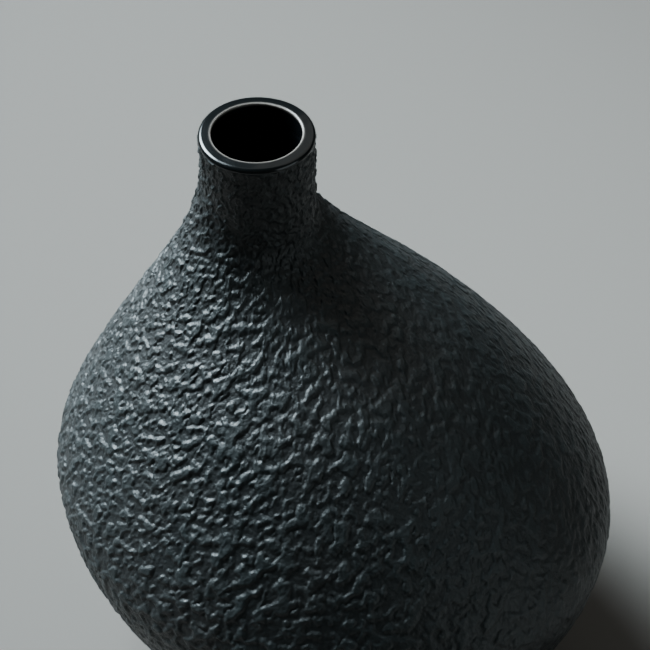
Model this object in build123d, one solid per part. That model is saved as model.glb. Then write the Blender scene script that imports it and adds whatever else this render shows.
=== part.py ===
from build123d import *

import os

import numpy as np

# A small stoneware bud vase: an oval, pebble-like body with a narrow neck set off to one end.
# The clay is four pieces luted together with slip: a bowl, a dome, a neck and a foot ring.
# A thick textured slip coats the outside. A gloss glaze lines the inside and wraps the lip.
# Part frame: +Z up, origin on the table under the middle of the oval, +X along the oval and
# away from the neck. Millimetres throughout.

# Overall size, over the coat and the foot.
LENGTH = 136.0
WIDTH = 121.0
HEIGHT = 132.0
BELLY_Z = 44.0  # the widest line
NECK_X = -22.0  # the neck's axis, towards the back end of the oval
BORE_R = 9.5  # finished mouth

# Layers, as (on the body, on the neck).
COAT = np.array([1.0, 0.5])
CLAY = np.array([4.4, 1.8])
LINING = np.array([0.4, 0.3])
UNDER_COAT = COAT
UNDER_CLAY = COAT + CLAY
UNDER_LINING = COAT + CLAY + LINING
NECK_R = BORE_R + UNDER_LINING[1]
THIN_FROM_Z, THIN_TO_Z = 84.0, 112.0  # the layers thin down between these heights

# The body's upper and lower profiles. Each is a rounded curve that would close on the axis.
DOME_H, DOME_POWERS = 62.0, (1.0, 1.7)  # slender, almost conical
BOWL_H, BOWL_POWERS = 54.5, (1.85, 2.0)  # full and round, cut off by the underside
BELLY_SOFTNESS = 0.12  # keeps the widest line from being a ridge
LEAN_POWER = 1.85  # how late the level sections move over towards the neck
FLARE_FROM_Z = 83.5  # above this the dome sweeps up into the neck
FLARE_TO_Z = 118.0  # mean height at which the sweep is upright
FLARE_SKEW = 8.7  # the back is later than that by this much, and the front sooner

# Joints between the clay pieces: half-laps in the middle of the wall, filled with slip.
BELLY_SEAM_Z = BELLY_Z
NECK_SEAM_Z = 98.0
LAP_H = 3.0
SLIP_T = 0.4
MID_WALL = COAT + CLAY / 2

# Lip.
LIP_R = NECK_R + 0.3  # the glaze swells a little past the neck
LIP_T = 0.5  # glaze over the clay's rim
LIP_OUT_H = 2.2  # the band's reach down outside
LIP_TAPER_H = 0.8  # how much of that is the swell's underside
LIP_EDGE = 0.05  # what stands out from the coat at the band's lower edge
LIP_IN_H = HEIGHT - FLARE_TO_Z - FLARE_SKEW  # and inside, as far down as the mouth runs true
LIP_ROUND = 1.2
MOUTH_ROUND = 0.5
RIM_ROUND = 0.7  # the clay under the glaze
RIM_GAP = 0.02  # keeps the band's plain round seat clear of the lofted clay

# Underside and foot.
FOOT_H = 2.6
FOOT_LENGTH, FOOT_WIDTH = 74.0, 66.0
FOOT_RING_W = 7.0
FOOT_ROUND = 0.8
TONGUE_W = 3.0
TONGUE_H = 1.2
UNDERSIDE_Z = FOOT_H + SLIP_T
FLOOR_T = 5.0
FLOOR_ROUND = 6.0  # where the inside wall turns into the floor

# Fineness of the lofts, and the small step for slopes.
AROUND = 32
LEVELS = 6
SURVEY = 600
NUDGE = 0.001
CLEAR = 1.0  # how far a cutting solid runs past what it cuts


def profile(height, reach, powers):
    """The radius, as a share of the belly's, at a height out of the profile's full reach."""

    def rise(share):
        return (share**2 + BELLY_SOFTNESS**2) ** (powers[0] / 2) - BELLY_SOFTNESS ** powers[0]

    drawn_in = rise(np.clip(height / reach, 0, 1)) / rise(1)
    return (1 - drawn_in) ** (1 / powers[1])


def body(z, angle):
    """The plain oval body: level ellipses that shrink and move towards the neck as they rise."""
    above = np.maximum(z - BELLY_Z, 0)
    below = np.maximum(BELLY_Z - z, 0)
    share = profile(above, DOME_H, DOME_POWERS) * profile(below, BOWL_H, BOWL_POWERS)
    middle = NECK_X * (above / DOME_H) ** LEAN_POWER
    x = middle + LENGTH / 2 * share * np.cos(angle)
    y = WIDTH / 2 * share * np.sin(angle)
    return np.stack([x, y])


def outside(z, angle):
    """The coat's surface: the body, then a cubic sweep that joins it to the round neck."""
    start = body(FLARE_FROM_Z, angle)
    slope = (start - body(FLARE_FROM_Z - NUDGE, angle)) / NUDGE
    neck = np.stack([NECK_X + NECK_R * np.cos(angle), NECK_R * np.sin(angle)])
    span = FLARE_TO_Z - FLARE_SKEW * np.cos(angle) - FLARE_FROM_Z
    t = np.clip((z - FLARE_FROM_Z) / span, 0, 1)
    sweep = (
        (2 * t**3 - 3 * t**2 + 1) * start
        + (t**3 - 2 * t**2 + t) * span * slope
        + (3 * t**2 - 2 * t**3) * neck
    )
    return np.where(z > FLARE_FROM_Z, sweep, body(z, angle))


def skin_survey(depth):
    """Points on the surface that lies this deep, square to the outside, in rising columns."""
    heights, turn = np.linspace(0, HEIGHT, SURVEY), np.arange(AROUND) * 2 * np.pi / AROUND
    z, angle = np.meshgrid(heights, turn, indexing="ij")
    points = np.stack([*outside(z, angle), z])
    along = np.stack([*(outside(z, angle + NUDGE) - outside(z, angle - NUDGE)), 0 * z])
    rising = np.stack([*(outside(z + NUDGE, angle) - outside(z - NUDGE, angle)), 2 * NUDGE + 0 * z])
    normal = np.cross(along, rising, axis=0)
    normal /= np.linalg.norm(normal, axis=0)
    thin = np.clip((z - THIN_FROM_Z) / (THIN_TO_Z - THIN_FROM_Z), 0, 1)
    thin = thin**2 * (3 - 2 * thin)
    return points - normal * (depth[0] + (depth[1] - depth[0]) * thin)


def skin(bottom_z, top_z, depth):
    """The solid inside one skin of the vase, lofted through level sections."""
    columns = skin_survey(depth)
    last_flare = FLARE_TO_Z + FLARE_SKEW
    levels = np.concatenate(
        [
            np.linspace(bottom_z, BELLY_Z, LEVELS, endpoint=False),
            np.linspace(BELLY_Z, FLARE_FROM_Z, LEVELS, endpoint=False),
            np.linspace(FLARE_FROM_Z, last_flare, 2 * LEVELS),
            np.linspace(last_flare, top_z, LEVELS)[1:],
        ]
    )
    knots = [float(k) for k in np.linspace(0, 1, AROUND + 1)]
    rings = []
    for level in levels:
        points = [
            Vector(float(np.interp(level, z, x)), float(np.interp(level, z, y)), float(level))
            for x, y, z in columns.transpose(2, 0, 1)
        ]
        rings.append(Wire([Edge.make_spline(points, periodic=True, parameters=knots)]))
    return Solid.make_loft(rings)


def slab(low_z, high_z):
    """Everything between two heights."""
    return Pos(0, 0, low_z) * extrude(Rectangle(2 * LENGTH, 2 * LENGTH), high_z - low_z)


def hollow(floor_z, depth):
    """The space inside a skin, with the floor's edge rounded, up through the mouth."""
    space = skin(floor_z, HEIGHT + CLEAR, depth)
    return fillet(space.edges().group_by(Axis.Z)[0], FLOOR_ROUND)


def post(radius, low_z, high_z):
    """An upright round post on the neck's axis."""
    return Pos(NECK_X, 0, low_z) * extrude(Circle(radius), high_z - low_z)


def oval_ring(length, width, ring_w, low_z, high_z):
    """An upright oval ring, by its outside size and the width of its band."""
    inside = Ellipse(length / 2 - ring_w, width / 2 - ring_w)
    return Pos(0, 0, low_z) * extrude(Ellipse(length / 2, width / 2) - inside, high_z - low_z)


def under_seam(seam_z, gap):
    """The lower side of a half-lap joint. The inner half of the wall stands a step higher."""
    step = slab(0, seam_z + LAP_H + gap) & skin(UNDERSIDE_Z, HEIGHT + CLEAR, MID_WALL - gap)
    return slab(-CLEAR, seam_z + gap) + step


def foot_tongue(gap):
    """The tongue along the top of the foot ring, or the groove that leaves a gap around it."""
    inset = (FOOT_RING_W - TONGUE_W) / 2 - gap
    return oval_ring(
        FOOT_LENGTH - 2 * inset,
        FOOT_WIDTH - 2 * inset,
        TONGUE_W + 2 * gap,
        FOOT_H,
        FOOT_H + TONGUE_H + gap,
    )


def make_clay():
    """The bowl, the dome and the neck, with the slip that fills the two joints between them."""
    rim_z = HEIGHT - LIP_T
    wall = skin(UNDERSIDE_Z, rim_z, UNDER_COAT) - hollow(UNDERSIDE_Z + FLOOR_T, UNDER_CLAY)
    wall = fillet(wall.edges().group_by(Axis.Z)[-1], RIM_ROUND)
    belly, belly_slip = under_seam(BELLY_SEAM_Z, 0), under_seam(BELLY_SEAM_Z, SLIP_T)
    neck, neck_slip = under_seam(NECK_SEAM_Z, 0), under_seam(NECK_SEAM_Z, SLIP_T)
    upper = wall - belly_slip
    return {
        "lower_bowl": (wall & belly) - foot_tongue(SLIP_T),
        "belly_seam_slip": (wall & belly_slip) - belly,
        "upper_dome": upper & neck,
        "neck_seam_slip": (upper & neck_slip) - neck,
        "neck_collar": upper - neck_slip,
    }


def make_foot():
    """The bare foot ring and the slip that beds it and its tongue under the bowl."""
    ring = oval_ring(FOOT_LENGTH, FOOT_WIDTH, FOOT_RING_W, 0, FOOT_H)
    ring = fillet(ring.edges().group_by(Axis.Z)[0], FOOT_ROUND)
    bed = oval_ring(FOOT_LENGTH, FOOT_WIDTH, FOOT_RING_W, FOOT_H, UNDERSIDE_Z)
    return {
        "foot_ring": ring + foot_tongue(0),
        "foot_seam_slip": bed + foot_tongue(SLIP_T) - foot_tongue(0),
    }


def make_lip():
    """The smooth band that wraps the clay's rim, from the coat outside to the lining inside."""
    outer_low_z, inner_low_z = HEIGHT - LIP_OUT_H, HEIGHT - LIP_IN_H
    swell = Cone(NECK_R + LIP_EDGE, LIP_R, LIP_TAPER_H, align=(Align.CENTER, Align.CENTER, Align.MIN))
    band = Pos(NECK_X, 0, outer_low_z) * swell + post(LIP_R, outer_low_z + LIP_TAPER_H, HEIGHT)
    band = fillet(band.edges().group_by(Axis.Z)[-1], LIP_ROUND)
    inside_r = BORE_R + LINING[1] - RIM_GAP
    band += post(inside_r, inner_low_z, outer_low_z)
    band -= post(BORE_R, inner_low_z, HEIGHT)
    band = fillet(band.edges().group_by(Axis.Z)[-1].sort_by(SortBy.RADIUS)[0], MOUTH_ROUND)
    seat_top_z = HEIGHT - LIP_T + RIM_GAP
    seat = post(NECK_R - COAT[1] + RIM_GAP, outer_low_z, seat_top_z)
    seat -= post(inside_r, outer_low_z, seat_top_z)
    return band - fillet(seat.edges().group_by(Axis.Z)[-1], RIM_ROUND)


def make_glazes():
    """The textured coat outside and the gloss lining."""
    coat_top_z, lining_top_z = HEIGHT - LIP_OUT_H, HEIGHT - LIP_IN_H
    coat = skin(UNDERSIDE_Z, coat_top_z, 0 * COAT) - skin(UNDERSIDE_Z, HEIGHT, UNDER_COAT)
    space = hollow(UNDERSIDE_Z + FLOOR_T, UNDER_CLAY) & slab(0, lining_top_z)
    lining = space - hollow(UNDERSIDE_Z + FLOOR_T + LINING[0], UNDER_LINING)
    return {"textured_coat": coat, "lining_glaze": lining, "lip_glaze": make_lip()}


def main():
    os.makedirs("parts", exist_ok=True)
    nodes = make_clay() | make_foot() | make_glazes()
    for name, shape in nodes.items():
        export_step(shape, f"parts/{name}.step")
        print(name, shape.is_valid, len(shape.solids()), round(shape.volume, 1))


if __name__ == "__main__":
    main()
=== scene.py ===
import math

import bpy
import numpy as np
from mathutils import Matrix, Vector


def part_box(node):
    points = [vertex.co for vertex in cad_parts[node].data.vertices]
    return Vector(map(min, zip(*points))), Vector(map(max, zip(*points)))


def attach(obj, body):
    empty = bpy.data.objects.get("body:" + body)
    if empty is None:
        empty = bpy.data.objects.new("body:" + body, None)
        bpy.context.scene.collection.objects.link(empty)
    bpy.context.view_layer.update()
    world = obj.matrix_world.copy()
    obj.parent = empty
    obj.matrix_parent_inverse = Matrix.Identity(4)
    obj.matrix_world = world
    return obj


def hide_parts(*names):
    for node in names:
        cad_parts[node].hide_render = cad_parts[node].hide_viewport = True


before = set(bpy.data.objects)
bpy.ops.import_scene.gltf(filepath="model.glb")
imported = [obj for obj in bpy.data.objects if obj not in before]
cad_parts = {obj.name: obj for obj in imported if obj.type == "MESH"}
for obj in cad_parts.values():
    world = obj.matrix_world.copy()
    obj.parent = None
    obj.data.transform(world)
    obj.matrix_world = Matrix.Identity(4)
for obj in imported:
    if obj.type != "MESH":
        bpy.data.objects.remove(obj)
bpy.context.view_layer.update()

# Foot ring
# An oval band of coarse stoneware set under the bowl with slip. Its face is wiped bare before
# the firing, so it stays matte and warm grey-brown and shows the grains in the clay.

MM = 0.001
GROG = 0.9 * MM  # grains of fired clay in the body
KILN_CLOUD = "#2f2824"  # where the kiln left the clay darker


def linear(hex_colour):
    """A screen colour as linear light: a straight line in the darks, then the power 2.4 curve."""
    screen = np.array([int(hex_colour[i : i + 2], 16) for i in (1, 3, 5)]) / 255
    light = np.where(screen <= 0.04045, screen / 12.92, ((screen + 0.055) / 1.055) ** 2.4)
    return (*(float(c) for c in light), 1.0)


def add_node(finish, kind, inputs, **settings):
    """Adds one node to a finish. An input that is another node's socket is linked, any other is set."""
    node = finish.node_tree.nodes.new(kind)
    for name, value in settings.items():
        setattr(node, name, value)
    for socket, value in inputs.items():
        if isinstance(value, bpy.types.NodeSocket):
            finish.node_tree.links.new(value, node.inputs[socket])
        else:
            node.inputs[socket].default_value = value
    return node


def new_finish(name):
    """An empty node material, and the place on the piece that its patterns are drawn from."""
    finish = bpy.data.materials.new(name)
    finish.use_nodes = True
    finish.node_tree.nodes.clear()
    place = add_node(finish, "ShaderNodeTexCoord", {}).outputs["Object"]
    return finish, place


def bare_stoneware(name, clay_colour, grain_colour, roughness):
    """Unglazed, fired stoneware: dry and matte, cloudy from the kiln, with darker grains."""
    finish, place = new_finish(name)
    cloud = add_node(finish, "ShaderNodeTexNoise", {"Vector": place, "Scale": 1 / (9 * MM), "Detail": 4.0})
    grain = add_node(finish, "ShaderNodeTexVoronoi", {"Vector": place, "Scale": 1 / (2 * GROG)})
    speck = add_node(
        finish,
        "ShaderNodeMapRange",
        {
            "Value": grain.outputs["Distance"],
            "From Min": 0.12,
            "From Max": 0.34,
            "To Min": 0.7,
            "To Max": 0.0,
        },
    )
    tone = add_node(
        finish,
        "ShaderNodeMapRange",
        {"Value": cloud.outputs["Fac"], "From Min": 0.3, "From Max": 0.7, "To Min": 0.0, "To Max": 0.35},
    )
    clouded = add_node(
        finish,
        "ShaderNodeMix",
        {0: tone.outputs[0], 6: linear(clay_colour), 7: linear(KILN_CLOUD)},
        data_type="RGBA",
    )
    grained = add_node(
        finish,
        "ShaderNodeMix",
        {0: speck.outputs[0], 6: clouded.outputs[2], 7: linear(grain_colour)},
        data_type="RGBA",
    )
    tooth = add_node(
        finish,
        "ShaderNodeTexNoise",
        {"Vector": place, "Scale": 1 / (0.5 * GROG), "Detail": 3.0},
    )
    bump = add_node(
        finish,
        "ShaderNodeBump",
        {"Height": tooth.outputs["Fac"], "Distance": 0.12 * MM, "Strength": 0.6},
    )
    shader = add_node(
        finish,
        "ShaderNodeBsdfPrincipled",
        {"Base Color": grained.outputs[2], "Normal": bump.outputs[0], "Roughness": roughness, "IOR": 1.5},
    )
    add_node(finish, "ShaderNodeOutputMaterial", {"Surface": shader.outputs[0]})
    return finish


def finish_node(name, finish):
    """Gives one carried node its finish."""
    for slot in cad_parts[name].material_slots:
        slot.material = finish


finish_node("foot_ring", bare_stoneware("wiped bare stoneware foot", "#6a5b50", "#3a312b", 0.82))

# Bowl, dome and neck
# Three pieces of grogged stoneware: two pressed shells that meet at the belly and a small thrown
# neck. Slip and glaze hide them, apart from the bare underside inside the foot ring.

clay_finish = bare_stoneware("coarse grogged stoneware", "#5f5148", "#332b27", 0.88)
for clay_piece in ("lower_bowl", "upper_dome", "neck_collar"):
    finish_node(clay_piece, clay_finish)

# Luting slip
# Clay mixed with water to a cream, brushed on scored edges to join the pieces. It fires to the
# body's colour, a little paler and smoother, and shows only as a line beside the foot ring.

slip_finish = bare_stoneware("fired luting slip", "#75665a", "#4a4038", 0.75)
for slip_line in ("belly_seam_slip", "neck_seam_slip", "foot_seam_slip"):
    finish_node(slip_line, slip_finish)

# Textured coat
# A thick slip sponged and dragged over the whole outside. It crawled into worm-like clots as it
# dried and was glazed charcoal. The clots catch the light, and painted shade darkens the plains.

coat_low, coat_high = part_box("textured_coat")
lip_low, lip_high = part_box("lip_glaze")
HALF_LENGTH = (coat_high.x - coat_low.x) / 2
HALF_WIDTH = (coat_high.y - coat_low.y) / 2
NECK_X = (lip_low.x + lip_high.x) / 2
LIP_R = (lip_high.x - lip_low.x) / 2
NECK_R = LIP_R - 0.3 * MM
BELLY_Z = 44.0 * MM  # the widest line
DOME_H, DOME_POWERS = 62.0 * MM, (1.0, 1.7)  # slender, almost conical
BOWL_H, BOWL_POWERS = 54.5 * MM, (1.85, 2.0)  # full and round, cut off by the underside
BELLY_SOFTNESS = 0.12  # keeps the widest line from being a ridge
LEAN_POWER = 1.85  # how late the level sections move over towards the neck
FLARE_FROM_Z, FLARE_TO_Z, FLARE_SKEW = 83.5 * MM, 118.0 * MM, 8.7 * MM  # the sweep up into the neck
COAT_T, COAT_NECK_T = 1.0 * MM, 0.5 * MM
THIN_FROM_Z, THIN_TO_Z = 84.0 * MM, 112.0 * MM  # the coat thins down between these heights
NECK_FROM_Z, NECK_TO_Z = 94 * MM, 112 * MM  # the neck's finer texture takes over between these

CLOT_H = 0.58 * MM  # how far the tallest clots stand out
PATCH, CLOT, LUMP, CRUMB = 14 * MM, 2.6 * MM, 1.6 * MM, 1.0 * MM  # sizes in the dried slip
RAGGED = 0.45 * MM  # how far a clot's edge wanders
THICK_SIDE = math.radians(-115)  # the slip lies thickest on this side
LIP_SWELL = 0.22 * MM  # how far the coat swells out to meet the lip
EDGE_ROUND = 0.7 * MM  # at the coat's two ends
COLUMNS = 1080
ROW_STEP = 0.37 * MM
INNER_ROWS = 14  # in each band, on the hidden smooth face


def profile(height, reach, powers):
    """Radius as a share of the belly's: one less a softened power of the height, to a root."""

    def rise(share):
        return (share**2 + BELLY_SOFTNESS**2) ** (powers[0] / 2) - BELLY_SOFTNESS ** powers[0]

    drawn_in = rise(np.clip(height / reach, 0, 1)) / rise(1)
    return (1 - drawn_in) ** (1 / powers[1])


def body(z, angle):
    """The plain oval: level ellipses that shrink and move towards the neck as they rise."""
    above, below = np.maximum(z - BELLY_Z, 0), np.maximum(BELLY_Z - z, 0)
    share = profile(above, DOME_H, DOME_POWERS) * profile(below, BOWL_H, BOWL_POWERS)
    middle = NECK_X * (above / DOME_H) ** LEAN_POWER
    x = middle + HALF_LENGTH * share * np.cos(angle)
    return np.stack([x, HALF_WIDTH * share * np.sin(angle)])


def outside(z, angle):
    """The smooth outside: the oval, then a cubic sweep on each side up into the round neck."""
    step = 0.01 * MM
    start = body(FLARE_FROM_Z, angle)
    slope = (start - body(FLARE_FROM_Z - step, angle)) / step
    neck = np.stack([NECK_X + NECK_R * np.cos(angle), NECK_R * np.sin(angle)])
    span = FLARE_TO_Z - FLARE_SKEW * np.cos(angle) - FLARE_FROM_Z
    t = np.clip((z - FLARE_FROM_Z) / span, 0, 1)
    sweep = (2 * t**3 - 3 * t**2 + 1) * start + (t**3 - 2 * t**2 + t) * span * slope
    sweep = sweep + (3 * t**2 - 2 * t**3) * neck
    return np.stack([*np.where(z > FLARE_FROM_Z, sweep, body(z, angle)), z + 0 * angle])


def square_out(z, angle):
    """The direction square to the smooth outside, from its slopes around and up."""
    nudge = 0.001 * MM
    around = outside(z, angle + 1e-4) - outside(z, angle - 1e-4)
    up = outside(z + nudge, angle) - outside(z - nudge, angle)
    across = np.cross(around, up, axis=0)
    return across / np.linalg.norm(across, axis=0), around / np.linalg.norm(around, axis=0)


def even_heights(low_z, high_z, step):
    """Heights between two levels, spaced so that the steps along the wall are all alike."""
    z = np.linspace(low_z, high_z, 4000)
    radius = np.hypot(*(outside(z, 0 * z)[:2] - outside(z, 0 * z + np.pi)[:2])) / 2
    run = np.concatenate([[0], np.cumsum(np.hypot(np.diff(z), np.diff(radius)))])
    return np.interp(np.linspace(0, run[-1], int(run[-1] / step) + 1), run, z)


def hills(points, period, seed):
    """Smooth random hills, about -1 to 1: a random slope at each corner of a cubic lattice,
    blended between corners with a quintic ease."""
    rng = np.random.default_rng(seed)
    order = np.tile(rng.permutation(256), 2)
    slopes = rng.normal(size=(256, 3))
    slopes /= np.linalg.norm(slopes, axis=1)[:, None]
    cell = np.floor(points / period).astype(int)
    inside = points / period - cell
    ease = inside**3 * (inside * (inside * 6 - 15) + 10)
    cell &= 255
    total = np.zeros(points.shape[1:])
    for corner in np.ndindex(2, 2, 2):
        at = np.array(corner).reshape(3, *[1] * (points.ndim - 1))
        x, y, z = (cell + at) & 255
        slope = slopes[order[order[order[x] + y] + z]]
        weight = np.prod(np.where(at == 1, ease, 1 - ease), axis=0)
        total += weight * np.einsum("i...,...i->...", inside - at, slope)
    return total * 1.6


def ease_step(low, high, value):
    """0 below low, 1 above high, with a smooth S between."""
    t = np.clip((value - low) / (high - low), 0, 1)
    return t * t * (3 - 2 * t)


def dragged(points, drag, period, seed, reach):
    """Hills drawn out along the drag: their mean at four places spread over the reach, made
    taller again by what the averaging takes away."""
    return sum(hills(points + drag * k * reach / 2, period, seed) for k in np.linspace(-1, 1, 4)) / 2.6


def crawled(points, drag, on_neck):
    """Height of the dried slip, 0 on the plains to 1 on the clots. Hills drawn out by the drag and
    roughened at the edges are cut off flat below and eased steep at the sides. The clots carry
    smaller lumps, both carry crumbs, and the neck has the lumps and crumbs only."""
    pushed = points + RAGGED * np.stack([hills(points, LUMP, seed) for seed in (11, 12, 13)])
    patch = hills(points, PATCH, seed=2)
    knobs = dragged(pushed, drag, LUMP, seed=3, reach=0.8 * MM)
    clots = dragged(pushed, drag, CLOT, seed=1, reach=1.4 * MM)
    clots = ease_step(0.15, 0.42, clots + 0.25 * patch)
    lumps = ease_step(0.12, 0.44, knobs - 0.15 * patch)
    crumbs = ease_step(-0.10, 0.50, dragged(points, drag, CRUMB, seed=5, reach=0.5 * MM))
    crowned = clots * (0.75 + 0.25 * ease_step(-0.3, 0.4, knobs))
    on_body = 0.84 * np.maximum(crowned, 0.62 * lumps) + 0.20 * crumbs
    return on_body * (1 - on_neck) + (0.50 * lumps + 0.40 * crumbs) * on_neck


def closed_shell(name, outer, inner, outer_normal, inner_normal):
    """A ring-shaped shell from two grids of points that share their columns: outer face up, inner
    face down, and a strip across each end. The rows close into a loop both ways."""
    loop = np.concatenate([outer, inner[:, ::-1]], axis=1)
    normals = np.concatenate([outer_normal, inner_normal[:, ::-1]], axis=1)
    rows, columns = loop.shape[1:]
    index = np.arange(rows * columns).reshape(rows, columns)
    right, above = np.roll(index, -1, axis=1), np.roll(index, -1, axis=0)
    faces = np.stack([index, right, np.roll(right, -1, axis=0), above], axis=-1).reshape(-1, 4)
    mesh = bpy.data.meshes.new(name)
    mesh.from_pydata(loop.reshape(3, -1).T, [], faces)
    mesh.shade_smooth()
    mesh.normals_split_custom_set_from_vertices(normals.reshape(3, -1).T)
    piece = bpy.data.objects.new(name, mesh)
    bpy.context.scene.collection.objects.link(piece)
    return piece, loop


def coat_finish():
    """Charcoal glaze on rough slip: satin, so it takes soft bluish window light on every clot.
    The clots are painted greyer and the plains and pits darker: painted shade between the clots."""
    finish, place = new_finish("satin charcoal glaze on crawled slip")
    height = add_node(finish, "ShaderNodeAttribute", {}, attribute_name="slip_height")
    patches = add_node(finish, "ShaderNodeTexNoise", {"Vector": place, "Scale": 1 / (16 * MM), "Detail": 3.0})
    grit = add_node(finish, "ShaderNodeTexNoise", {"Vector": place, "Scale": 1 / (0.55 * MM), "Detail": 3.0})
    # Painted shade: darker colour on the plains and in the pits, paler on the clots.
    painted_pit_shade = add_node(
        finish,
        "ShaderNodeMix",
        {0: height.outputs["Fac"], 6: linear("#080c0d"), 7: linear("#171e1f")},
        data_type="RGBA",
    )
    warmth = add_node(
        finish,
        "ShaderNodeMapRange",
        {"Value": patches.outputs["Fac"], "From Min": 0.35, "From Max": 0.7, "To Min": 0.0, "To Max": 0.5},
    )
    toned = add_node(
        finish,
        "ShaderNodeMix",
        {0: warmth.outputs[0], 6: painted_pit_shade.outputs[2], 7: linear("#191817")},
        data_type="RGBA",
    )
    shine = add_node(
        finish,
        "ShaderNodeMapRange",
        {"Value": grit.outputs["Fac"], "From Min": 0.3, "From Max": 0.7, "To Min": 0.42, "To Max": 0.58},
    )
    bump = add_node(
        finish,
        "ShaderNodeBump",
        {"Height": grit.outputs["Fac"], "Distance": 0.17 * MM, "Strength": 0.8},
    )
    shader = add_node(
        finish,
        "ShaderNodeBsdfPrincipled",
        {
            "Base Color": toned.outputs[2],
            "Roughness": shine.outputs[0],
            "Normal": bump.outputs[0],
            "IOR": 1.52,
        },
    )
    add_node(finish, "ShaderNodeOutputMaterial", {"Surface": shader.outputs[0]})
    return finish


turn = np.arange(COLUMNS) * 2 * np.pi / COLUMNS
coat_top_z = lip_high.z - 0.8 * MM  # the glaze of the lip feathers out over its top edge
wall_z = even_heights(coat_low.z, coat_top_z, ROW_STEP)
z_grid, turn_grid = np.meshgrid(wall_z, turn, indexing="ij")
smooth = outside(z_grid, turn_grid)
out, around = square_out(z_grid, turn_grid)
drag = around + np.cross(out, around, axis=0) * 0.9  # around the pot and up it
drag /= np.linalg.norm(drag, axis=0)
on_neck = ease_step(NECK_FROM_Z, NECK_TO_Z, z_grid)
from_top, from_foot = coat_top_z - z_grid, z_grid - coat_low.z
calm = ease_step(-0.6 * MM, 0.8 * MM, from_top) * ease_step(0, 1.5 * MM, from_foot)  # at both ends
slip_height = crawled(smooth, drag, on_neck) * calm
laid_on = 0.72 + 0.28 * np.cos(turn_grid - THICK_SIDE)
laid_on = laid_on * (0.50 + 0.50 * ease_step(5 * MM, 60 * MM, z_grid))  # it thins at the bottom
laid_on = laid_on + (1.0 - laid_on) * on_neck  # and is even around the neck
stand = CLOT_H * slip_height * laid_on
swell = LIP_SWELL * ease_step(-3.0 * MM, -0.8 * MM, z_grid - coat_top_z)
thickness = COAT_T + (COAT_NECK_T - COAT_T) * ease_step(THIN_FROM_Z, THIN_TO_Z, z_grid)
edge = np.minimum(from_foot, from_top) / EDGE_ROUND
rolled = 1 - np.sqrt(1 - (1 - np.clip(edge, 0, 1)) ** 2)
# The plains lie a quarter of a clot below the mean face, and each end rolls in.
outer_face = smooth + out * (stand + swell - 0.25 * CLOT_H * calm - 0.8 * thickness * rolled)
inner_face = smooth - out * thickness
coat_rise = np.gradient(outer_face, axis=1)
coat_run = np.roll(outer_face, -1, axis=2) - np.roll(outer_face, 1, axis=2)
outer_normal = np.cross(coat_run, coat_rise, axis=0)
outer_normal /= np.linalg.norm(outer_normal, axis=0)

satin_charcoal = coat_finish()
bands = ("foot", "lower", "belly", "waist", "upper", "shoulder", "neck")
joins = np.linspace(0, len(wall_z) - 1, len(bands) + 1).astype(int)
for band, first, last in zip(bands, joins, joins[1:]):
    rows = slice(first, last + 1)
    inner_rows = np.linspace(first, last, INNER_ROWS).astype(int)
    coat, coat_loop = closed_shell(
        f"textured_coat_{band}",
        outer_face[:, rows],
        inner_face[:, inner_rows],
        outer_normal[:, rows],
        -out[:, inner_rows],
    )
    heights = np.zeros(coat_loop.shape[1:], np.float32)
    heights[: last - first + 1] = slip_height[rows]
    attribute = coat.data.attributes.new("slip_height", "FLOAT", "POINT")
    attribute.data.foreach_set("value", heights.ravel())
    coat.data.materials.append(satin_charcoal)
    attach(coat, "root")
    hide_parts("textured_coat")

# Lining
# Gloss black glaze poured in, swirled and poured out. It flowed level before it set, so it is
# smooth and glassy where it shows down the mouth.


def gloss_glaze(name, glaze_colour, thin_colour, roughness):
    """Poured glaze, fired glassy: smooth, with the slow ripple of a thick liquid. Where it drew
    thin it lets the paler clay through."""
    finish, place = new_finish(name)
    thin = add_node(finish, "ShaderNodeAttribute", {}, attribute_name="drawn_thin")
    colour = add_node(
        finish,
        "ShaderNodeMix",
        {0: thin.outputs["Fac"], 6: linear(glaze_colour), 7: linear(thin_colour)},
        data_type="RGBA",
    )
    ripple = add_node(finish, "ShaderNodeTexNoise", {"Vector": place, "Scale": 1 / (5 * MM), "Detail": 1.0})
    bump = add_node(
        finish,
        "ShaderNodeBump",
        {"Height": ripple.outputs["Fac"], "Distance": 0.25 * MM, "Strength": 0.4},
    )
    shader = add_node(
        finish,
        "ShaderNodeBsdfPrincipled",
        {"Base Color": colour.outputs[2], "Roughness": roughness, "Normal": bump.outputs[0], "IOR": 1.52},
    )
    add_node(finish, "ShaderNodeOutputMaterial", {"Surface": shader.outputs[0]})
    return finish


# The lining draws thin nowhere, so both its colours are one.
finish_node("lining_glaze", gloss_glaze("poured gloss black glaze", "#0b0d0f", "#0b0d0f", 0.08))

# Lip glaze
# The lip was dipped in the same glaze, which covers the rough slip with a smooth, slightly
# swollen band. It drew thin over the mouth's inner edge and shows the clay there as a fine ring.

LIP_T = 2.9 * MM
BORE_R = LIP_R - LIP_T
LIP_REACH = 2.2 * MM  # the band's reach down outside
LIP_COLUMNS = 240


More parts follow.
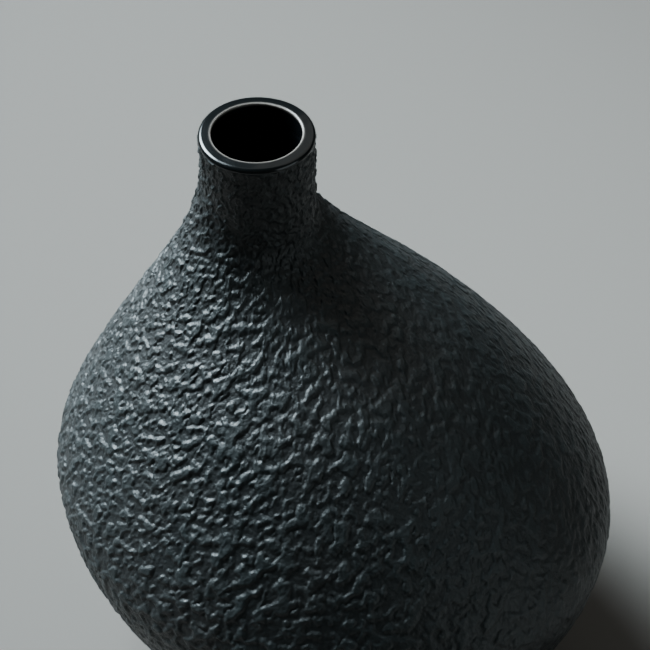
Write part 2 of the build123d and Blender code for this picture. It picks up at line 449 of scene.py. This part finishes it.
def lip_profile():
    """Once round the band's section, as radius, height from the top (down is minus), and how thin
    the glaze is: an eased swell, a round shoulder, a gently sloping top, a small round edge, the
    straight mouth, and back over the clay's rim."""
    t, bend = np.linspace(0, 1, 12, endpoint=False), np.linspace(0, np.pi / 2, 12, endpoint=False)
    shoulder, arris, slope = 0.95 * MM, 0.35 * MM, 0.10 * MM
    outer_r = LIP_R - 0.05 * MM
    swell_r = NECK_R - 0.35 * MM + (outer_r - NECK_R + 0.35 * MM) * ease_step(0, 1, t)
    swell_z = -LIP_REACH + (LIP_REACH - slope - shoulder) * t
    round_r = outer_r - shoulder * (1 - np.cos(bend))
    round_z = -slope - shoulder * (1 - np.sin(bend))
    top_r = outer_r - shoulder + (BORE_R + arris - outer_r + shoulder) * t
    top_z = -slope * (1 - t)
    edge_r = BORE_R + arris * (1 - np.sin(bend))
    edge_z = -arris * (1 - np.cos(bend))
    mouth_z = -arris - (lip_high.z - lip_low.z - arris) * t
    seat_r = np.array([0.3, 0.3, 0.9, 1.7, 2.1, 2.1]) * MM + BORE_R
    seat_z = np.array([lip_low.z - lip_high.z, -1.0 * MM, -0.5 * MM, -0.5 * MM, -1.0 * MM, -LIP_REACH])
    radius = np.concatenate([swell_r, round_r, top_r, edge_r, BORE_R + 0 * t, seat_r])
    height = np.concatenate([swell_z, round_z, top_z, edge_z, mouth_z, seat_z])
    from_edge = np.hypot(radius - BORE_R - 0.1 * MM, height + 0.1 * MM)
    thin = np.exp(-((from_edge / (0.28 * MM)) ** 2))
    return radius, height, thin


def ring_wave(turn, size, seed):
    """A slow, irregular wave around the neck: random hills read along a circle."""
    ring = np.stack([np.cos(turn), np.sin(turn), 0 * turn])
    return size * hills(ring, 0.9, seed)


lip_turn = np.arange(LIP_COLUMNS) * 2 * np.pi / LIP_COLUMNS
radius, height, thin = lip_profile()
low_share = np.clip(-height / LIP_REACH, 0, 1) * (radius > NECK_R - 0.4 * MM)
wavy = height[:, None] + ring_wave(lip_turn, 0.20 * MM, 21) * (1 - low_share[:, None])
wavy = wavy + ring_wave(lip_turn, 0.25 * MM, 22) * low_share[:, None]
swollen = radius[:, None] + ring_wave(lip_turn, 0.10 * MM, 23) * (radius > 11 * MM)[:, None]
band_x, band_y = NECK_X + swollen * np.cos(lip_turn), swollen * np.sin(lip_turn)
band_loop = np.stack([band_x, band_y, lip_high.z + wavy])
band_rise = np.roll(band_loop, -1, axis=1) - np.roll(band_loop, 1, axis=1)
band_run = np.roll(band_loop, -1, axis=2) - np.roll(band_loop, 1, axis=2)
band_normal = np.cross(band_run, band_rise, axis=0)
band_normal /= np.linalg.norm(band_normal, axis=0)
nothing = band_loop[:, :0]  # the profile closes on itself, so there is no inner grid
lip, _ = closed_shell("lip_glaze_band", band_loop, nothing, band_normal, nothing)
attribute = lip.data.attributes.new("drawn_thin", "FLOAT", "POINT")
attribute.data.foreach_set("value", np.repeat(thin, LIP_COLUMNS).astype(np.float32))
lip.data.materials.append(gloss_glaze("dipped gloss black glaze", "#080a0b", "#8c837d", 0.16))
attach(lip, "root")
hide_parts("lip_glaze")

# Studio
# A pale, warm-grey table top. A window behind and to the left, with a grid that keeps it off the
# foreground, weak light back from the right, and a broad ceiling light. The camera looks down on
# the vase from between the front and one side of its oval.

AZIMUTH, ELEVATION = math.radians(45.0), math.radians(45.5)
right = np.array([math.cos(AZIMUTH), math.sin(AZIMUTH), 0.0])
away = np.array([-math.sin(AZIMUTH), math.cos(AZIMUTH), 0.0])
up = np.array([0.0, 0.0, 1.0])

floor_mesh = bpy.data.meshes.new("table_top")
TABLE = 6.0  # from its middle to each side
corners = [(-TABLE, -TABLE, 0), (TABLE, -TABLE, 0), (TABLE, TABLE, 0), (-TABLE, TABLE, 0)]
floor_mesh.from_pydata(corners, [], [(0, 1, 2, 3)])
floor = bpy.data.objects.new("table_top", floor_mesh)
bpy.context.scene.collection.objects.link(floor)
table_finish, _ = new_finish("pale painted table top")
table_shader = add_node(
    table_finish,
    "ShaderNodeBsdfPrincipled",
    {"Base Color": linear("#6e6863"), "Roughness": 0.9},
)
add_node(table_finish, "ShaderNodeOutputMaterial", {"Surface": table_shader.outputs[0]})
floor_mesh.materials.append(table_finish)


def aim(thing, place, target):
    """Puts a lamp or the camera at a place and turns it to face the target."""
    thing.location = place
    thing.rotation_euler = (Vector(target) - Vector(place)).to_track_quat("-Z", "Y").to_euler()


def soft_light(name, direction, distance, size, power, colour, spread, lit):
    """A square soft light at a distance in some direction from the middle of the vase, turned to
    the spot it is to light most. A grid keeps the light within the spread: 180 is no grid."""
    lamp = bpy.data.lights.new(name, "AREA")
    lamp.size = size
    lamp.energy = power
    lamp.color = linear(colour)[:3]
    lamp.spread = math.radians(spread)
    light = bpy.data.objects.new(name, lamp)
    bpy.context.scene.collection.objects.link(light)
    aim(light, vase_middle + distance * direction / np.linalg.norm(direction), lit)


vase_middle = np.array([0.0, 0.0, 60 * MM])
soft_light(
    "window",
    direction=-0.56 * right + 0.60 * away + 0.60 * up,
    distance=0.72,
    size=0.58,
    power=6.6,
    colour="#dbeef7",
    spread=50.0,
    lit=vase_middle + 90 * MM * away,
)
soft_light(
    "bounce",
    direction=0.80 * right - 0.55 * away + 0.25 * up,
    distance=1.4,
    size=0.9,
    power=3.1,
    colour="#d8e8ec",
    spread=180.0,
    lit=vase_middle,
)
soft_light(
    "ceiling",
    direction=0.35 * right + 0.50 * away + 0.80 * up,
    distance=1.5,
    size=1.3,
    power=2.8,
    colour="#ece9e2",
    spread=180.0,
    lit=vase_middle,
)

world = bpy.data.worlds.new("studio air")
bpy.context.scene.world = world
world.use_nodes = True
world.node_tree.nodes["Background"].inputs["Color"].default_value = linear("#c6dadb")
world.node_tree.nodes["Background"].inputs["Strength"].default_value = 0.08

FIELD_OF_VIEW = math.radians(20.0)
DISTANCE = 399.5 * MM
TARGET = np.array([-1.0, -1.0, 90.9]) * MM
camera_data = bpy.data.cameras.new("camera")
camera_data.angle = FIELD_OF_VIEW
camera_data.clip_start = 10 * MM
camera = bpy.data.objects.new("camera", camera_data)
bpy.context.scene.collection.objects.link(camera)
aim(camera, TARGET + DISTANCE * (-away * math.cos(ELEVATION) + up * math.sin(ELEVATION)), TARGET)
bpy.context.scene.camera = camera
